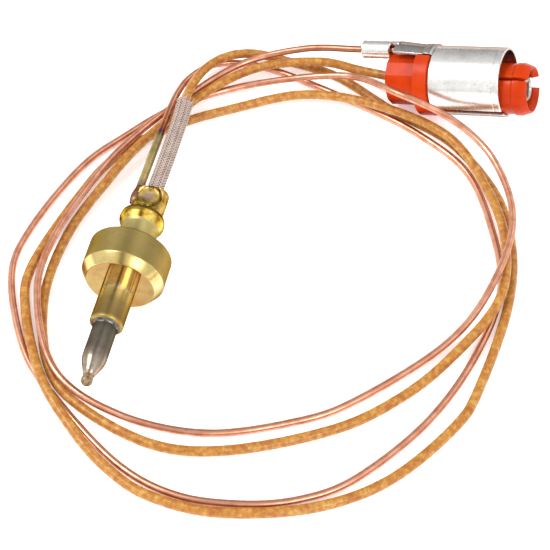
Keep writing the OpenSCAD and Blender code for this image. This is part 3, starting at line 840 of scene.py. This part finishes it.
# ---------------------------------------------------------------- the connector
def housing():
    """The orange moulding: twelve-sided rear barrel, notched disc and slotted snap nose."""
    solid = Solid()
    solid.revolve([(-BARREL_LEN, 1.0), (-BARREL_LEN, BARREL_R), (0.05, BARREL_R), (0.05, 1.0)],
                  at_connector, 5, 365, True, steps=12)
    solid.revolve([(0, 1.0), (0, SHELL_R - SHEET - 0.3), (DISC_THK, SHELL_R - SHEET - 0.3),
                   (DISC_THK, 1.0)], at_connector, closed=True)
    notch = TONGUE_HALF + 4
    solid.revolve([(0, 4.6), (0, DISC_R), (DISC_THK, DISC_R), (DISC_THK, 4.6)],
                  at_connector, 90 + notch, 450 - notch, True)
    solid.revolve([(DISC_THK - 0.05, 1.3), (DISC_THK - 0.05, 5.05), (DISC_THK + 3.4, 5.05),
                   (DISC_THK + 3.4, 1.3)], at_connector, closed=True)
    root = NOSE_END - 7.5
    solid.revolve([(DISC_THK + 3, NOSE_R), (root + 0.05, NOSE_R), (root + 0.05, NOSE_R - NOSE_WALL),
                   (8.5, NOSE_R - NOSE_WALL), (8.5, 1.25), (DISC_THK + 3, 1.25)],
                  at_nose, closed=True)
    finger = [(root, NOSE_R - NOSE_WALL), (root, NOSE_R), (NOSE_END - 2.45, NOSE_R),
              (NOSE_END - 2.35, NOSE_R + 0.18), (NOSE_END - 1.4, NOSE_R + 0.18),
              (NOSE_END - 0.1, NOSE_R - 0.3), (NOSE_END, NOSE_R - 0.4),
              (NOSE_END, NOSE_R - 0.55), (NOSE_END - 0.9, NOSE_R - NOSE_WALL)]
    for a0, a1 in ((17, 134.4), (141.6, 346)):
        solid.revolve(finger, at_nose, a0, a1, True)
    return solid.piece("connector_body", PLASTIC, ["connector_housing"], sharp=40, bevel=0.13,
                       flat=True)


def shell():
    """The rolled tin shell with its slit; the tongue behind it and the wire's crimp barrel are made
    by the next two functions.
    """
    inner, half = SHELL_R - SHEET, math.degrees(SLIT_W / 2 / SHELL_R)
    solid = Solid()
    solid.revolve([(DISC_THK, inner), (DISC_THK, SHELL_R - 0.2), (DISC_THK + 0.35, SHELL_R),
                   (SHELL_END - 1.15, SHELL_R), (SHELL_END - 1.05, SHELL_R - 0.05),
                   (SHELL_END - 0.95, SHELL_R), (SHELL_END - 0.1, SHELL_R),
                   (SHELL_END, SHELL_R - 0.1), (SHELL_END, inner)],
                  at_connector, SLIT_SIDE + half, SLIT_SIDE + 360 - half, True, steps=128)
    return solid.piece("shell", TIN, ["ground_shell"], sharp=40, bevel=0.07, flat=True)


def tongue():
    """The strip that runs back from the shell over the disc's notch to the wire barrel."""
    inner, start, solid = SHELL_R - SHEET, WIRE_BARREL_END + 1.05, Solid()
    solid.revolve([(start, inner + 0.45), (start, SHELL_R + 0.5), (0.2, SHELL_R + 0.12),
                   (0.9, SHELL_R + 0.05), (1.15, SHELL_R + 0.25), (2.1, SHELL_R + 0.25),
                   (2.5, SHELL_R - 0.02), (2.5, inner), (0.2, inner + 0.1)],
                  at_connector, 90 - TONGUE_HALF, 90 + TONGUE_HALF, True)
    return solid.piece("tongue", DARKER_TIN, ["ground_shell"], sharp=40, bevel=0.07, flat=True)


def wire_barrel():
    """Sheet rolled round the wire and squeezed, with its seam along the top."""
    seam = math.radians(200)

    def place(x, r, a):
        off = (a - seam + math.pi) % TURN - math.pi
        dent = 0.16 * math.exp(-(off / 0.2) ** 2) if r > 1 else 0
        squash = 1 - 0.04 * math.sin(TURN * (x - WIRE_BARREL_END) / 2.4) ** 2
        return at_wire_barrel(x, (r - dent) * squash, a)
    start, end, hole = WIRE_BARREL_END - WIRE_BARREL_LEN, WIRE_BARREL_END, RETURN_R + 0.06
    solid = Solid()
    ring = [(start + 0.15, hole)]
    ring += [(start, hole + 0.1), (start, WIRE_BARREL_R - 0.25), (start + 0.25, WIRE_BARREL_R)]
    ring += [(start + (end - start) * k / 10, WIRE_BARREL_R) for k in range(1, 10)]
    ring += [(end - 0.15, WIRE_BARREL_R), (end, WIRE_BARREL_R - 0.2), (end, hole + 0.1),
             (end - 0.15, hole)]
    solid.revolve(ring, place, closed=True, steps=72)
    solid.revolve([(end - 0.05, WIRE_BARREL_R - SHEET), (end - 0.05, WIRE_BARREL_R),
                   (end + 1.5, WIRE_BARREL_R), (end + 1.5, WIRE_BARREL_R - SHEET)],
                  at_wire_barrel, 10, 112, True)
    return solid.piece("wire_barrel", TIN, ["ground_shell"], sharp=34)


def contact():
    """The hollow centre contact, with a rounded mouth."""
    end = NOSE_END - 0.7
    solid = Solid()
    outline = [(9, 1.2), (9, CONTACT_R), (end - 0.45, CONTACT_R), (end - 0.12, CONTACT_R - 0.14),
               (end, CONTACT_R - 0.42), (end - 0.05, CONTACT_BORE + 0.12),
               (end - 0.3, CONTACT_BORE), (end - 3, CONTACT_BORE), (end - 3, 0.2)]
    solid.revolve(rounded(outline, 0.12), at_nose, steps=96)
    return solid.piece("contact", CONTACT, ["centre_contact"], sharp=40)


def return_stub():
    """The end of the return wire that shows between the crimp barrel and the tongue."""
    end = WIRE_BARREL_END + 0.7
    line = [at_wire_barrel(end - 5.6 + 0.35 * k, 0, 0) for k in range(17)]
    return Solid().tube(line, lambda d, a: RETURN_R, 16).piece(
        "return_wire_tail", BARE, ["return_wire_end"], sharp=50)


plug = [housing(), shell(), tongue(), wire_barrel(), contact(), return_stub()]

for name, finish in (("probe_core_wire", CONSTANTAN), ("probe_insulator", CERAMIC),
                     ("core_splice", BARE), ("rear_bush", CERAMIC), ("live_wire_start", BARE),
                     ("live_wire_end", BARE)):
    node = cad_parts[name]
    for k in range(len(node.material_slots)):
        node.material_slots[k].material = finish

# ---------------------------------------------------------------- the cords' points in metres, worked out but not kept
[p * MM for p in return_line]
[p * MM for p in live_line]


# ---------------------------------------------------------------- floor, light and surroundings
WORLD_LIGHT = 1.15
# How bright the surroundings are from the left, -1, to the right, 1, in front and behind
WORLD_FRONT = ((-1, 0.9), (-0.24, 1), (-0.13, 0.1), (-0.02, 0.1), (0.08, 1), (1, 0.9))
WORLD_BACK = ((-1, 0.6), (-0.7, 0.8), (-0.5, 0.65), (-0.32, 0.7), (-0.2, 0.5), (-0.12, 0.1),
              (-0.02, 0.1), (0.1, 0.9), (0.24, 1.3), (0.54, 1.3), (0.66, 0.5), (0.76, 1),
              (1, 0.8))


def make_floor():
    """A pale floor that gives off a little light, so that it renders nearly white."""
    bpy.ops.mesh.primitive_plane_add(size=3)
    floor = bpy.context.object
    floor.name = "floor"
    m = Finish("pale_floor", roughness=0.85)
    m.set(**{"Base Color": m.ramp(m.noise(60, 2), (0.3, rgb(250, 250, 250)),
                                  (0.7, rgb(252, 252, 252))), "Specular IOR Level": 0.1,
             "Emission Color": (1, 1, 1, 1), "Emission Strength": 0.38})
    floor.data.materials.append(m.material)


def softbox(name, place, aim, size, energy):
    """A square white light of size metres that faces aim."""
    data = bpy.data.lights.new(name, "AREA")
    data.shape, data.size, data.energy = "SQUARE", size, energy
    lamp = bpy.data.objects.new(name, data)
    lamp.location = Vector(place)
    lamp.rotation_euler = (Vector(aim) - lamp.location).to_track_quat("-Z", "Y").to_euler()
    bpy.context.scene.collection.objects.link(lamp)


def make_world():
    """Bright surroundings with dark gaps, which leave dark streaks along round metal, behind a
    plain white backdrop."""
    world = bpy.data.worlds.new("studio")
    world.use_nodes = True
    tree = world.node_tree

    def link(kind, *sources, **settings):
        node = tree.nodes.new(kind)
        for key, value in settings.items():
            setattr(node, key, value)
        for k, source in enumerate(sources):
            if isinstance(source, bpy.types.NodeSocket):
                tree.links.new(source, node.inputs[k])
            else:
                node.inputs[k].default_value = source
        return node.outputs

    where = link("ShaderNodeSeparateXYZ", link("ShaderNodeTexCoord")["Generated"])
    across = link("ShaderNodeMath", where[0], 0.5, 0.5, operation="MULTIPLY_ADD")[0]
    front, back = link("ShaderNodeValToRGB", across), link("ShaderNodeValToRGB", across)
    for output, lights in ((front, WORLD_FRONT), (back, WORLD_BACK)):
        marks = output[0].node.color_ramp.elements
        while len(marks) < len(lights):
            marks.new(0.5)
        for mark, (x, light) in zip(marks, lights):
            mark.position, mark.color = (x + 1) / 2, (light, light, light, 1)
    behind = link("ShaderNodeMapRange", where[1], 0.0, 0.3)[0]
    sides = tree.nodes.new("ShaderNodeMix")
    for k, source in ((0, behind), (2, front[0]), (3, back[0])):
        tree.links.new(source, sides.inputs[k])
    above = link("ShaderNodeMapRange", where[2], 0.0, 0.14, 0.3, 1.0)[0]
    far = link("ShaderNodeMapRange", where[1], 0.62, 0.8, 1.0, 0.8)[0]
    both = link("ShaderNodeMath", sides.outputs[0], above, operation="MULTIPLY")[0]
    both = link("ShaderNodeMath", both, far, operation="MULTIPLY")[0]
    backdrop = link("ShaderNodeLightPath")["Is Camera Ray"]
    both = link("ShaderNodeMath", both, backdrop, operation="MAXIMUM")[0]
    tree.links.new(both, tree.nodes["Background"].inputs[0])
    tree.nodes["Background"].inputs[1].default_value = WORLD_LIGHT
    bpy.context.scene.world = world


bpy.context.scene.view_settings.view_transform = "Standard"
make_floor()
make_world()
softbox("key", (-0.24, -0.02, 0.4), (0.02, 0.01, 0), 0.2, 1.2)
softbox("fill", (0.3, -0.3, 0.34), (0, 0, 0), 0.24, 0.8)
